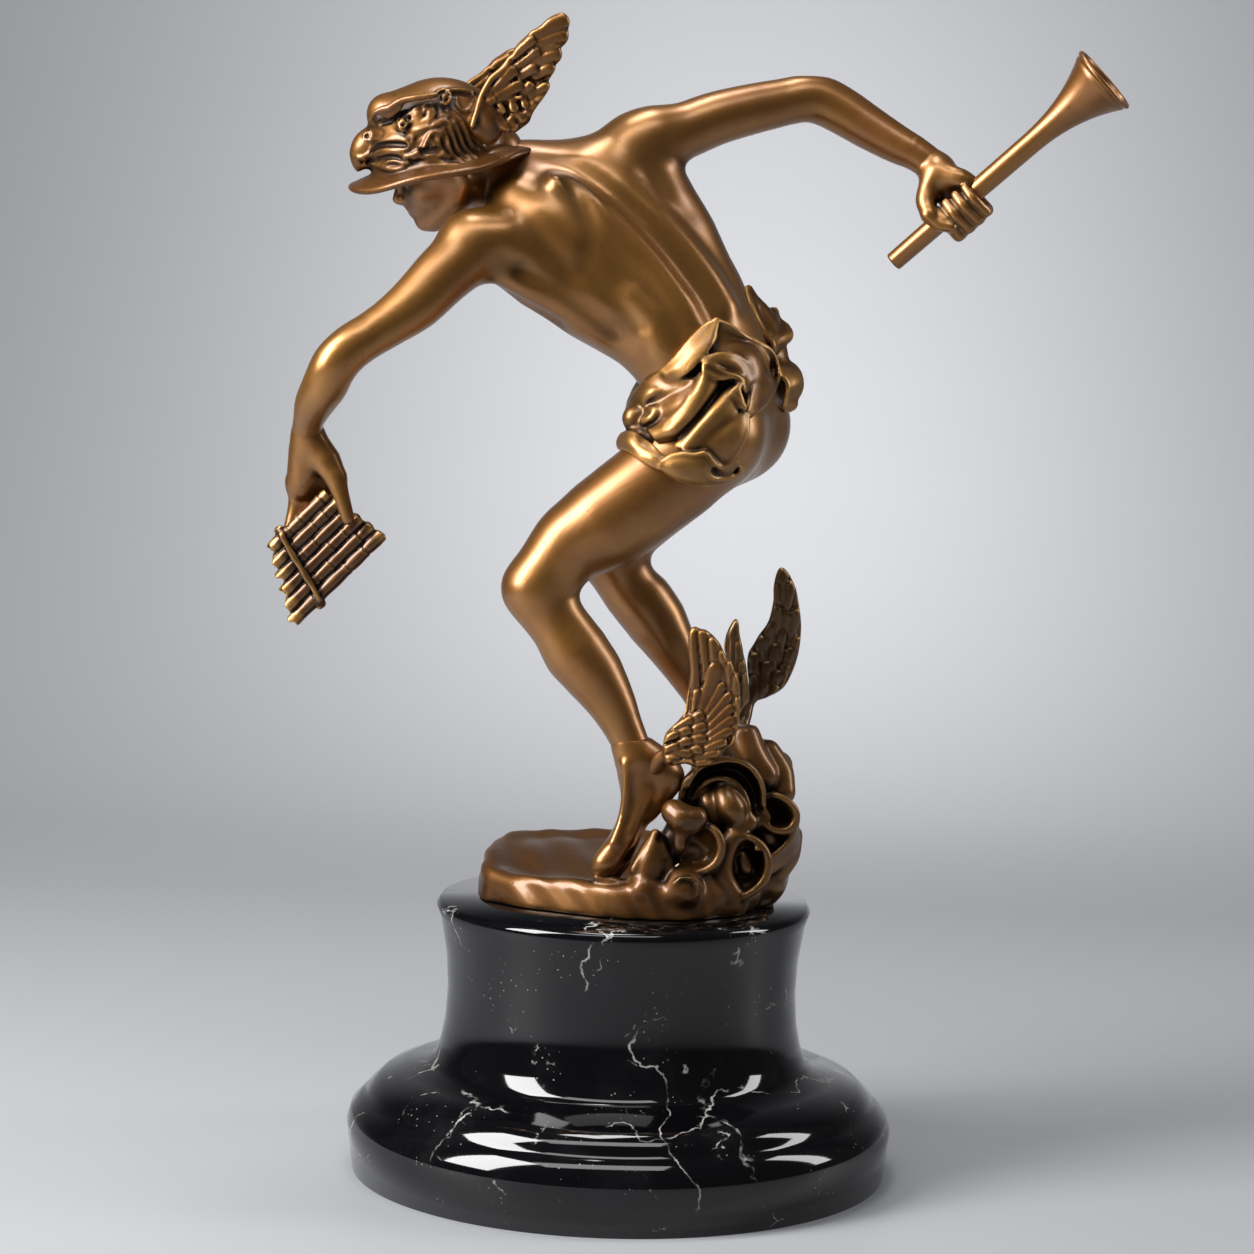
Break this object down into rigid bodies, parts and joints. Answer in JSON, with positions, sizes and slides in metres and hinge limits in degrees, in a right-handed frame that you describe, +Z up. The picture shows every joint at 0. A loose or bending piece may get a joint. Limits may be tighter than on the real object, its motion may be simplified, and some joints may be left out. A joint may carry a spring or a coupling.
{
  "type": "bronze statuette on a marble plinth",
  "caption": "Bronze Mercury in an eagle helmet, leaning forward with a trumpet and panpipes, on a turned black marble plinth.",
  "frame": {"origin": "centre of the plinth's round underside", "axes": "+Z up; the figure looks to -X, its left side is at -Y and its right side at +Y"},
  "size_m": [0.3666, 0.24, 0.5029],
  "materials": {
    "black_marble": "polished, with fine white veins",
    "bronze": "golden-brown patina, waxed and softly glossy",
    "dark_bronze": "dark brown patina, worn golden on its edges"
  },
  "bodies": {
    "root": {"marble_plinth": "black_marble", "mercury_figure": "bronze", "trumpet": "bronze", "panpipes": "dark_bronze"}
  },
  "joints": []
}
